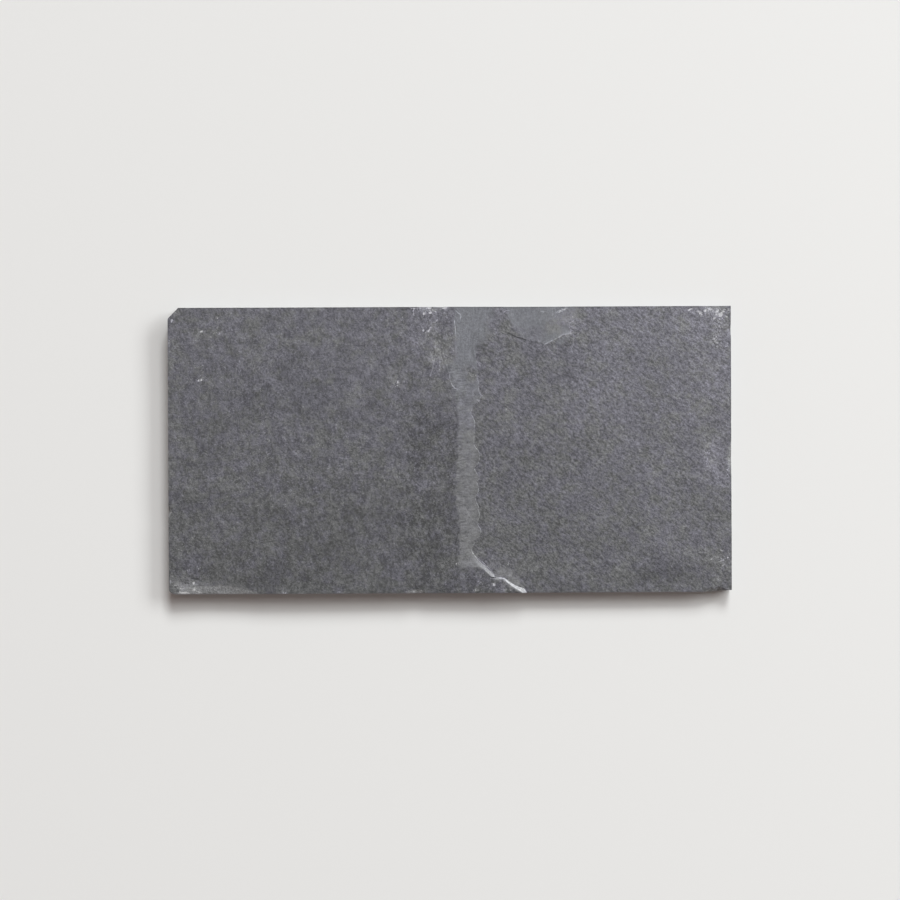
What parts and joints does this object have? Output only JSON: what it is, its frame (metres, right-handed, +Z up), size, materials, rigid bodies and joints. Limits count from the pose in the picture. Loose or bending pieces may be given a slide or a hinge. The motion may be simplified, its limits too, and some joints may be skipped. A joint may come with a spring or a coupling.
{
  "type": "slate tile",
  "caption": "Rectangular slate tile with sawn edges, a flat ground back and a riven face that steps down along a cleavage break.",
  "frame": {"origin": "middle of the ground back", "axes": "+X along the tile's length towards the lower half of its face, +Y across its width towards the back edge, +Z up out of the riven face"},
  "size_m": [0.305, 0.155, 0.011],
  "materials": {
    "slate": "matt riven face, sawn edges and ground back"
  },
  "bodies": {
    "root": {"slate_tile": "slate"}
  },
  "joints": []
}
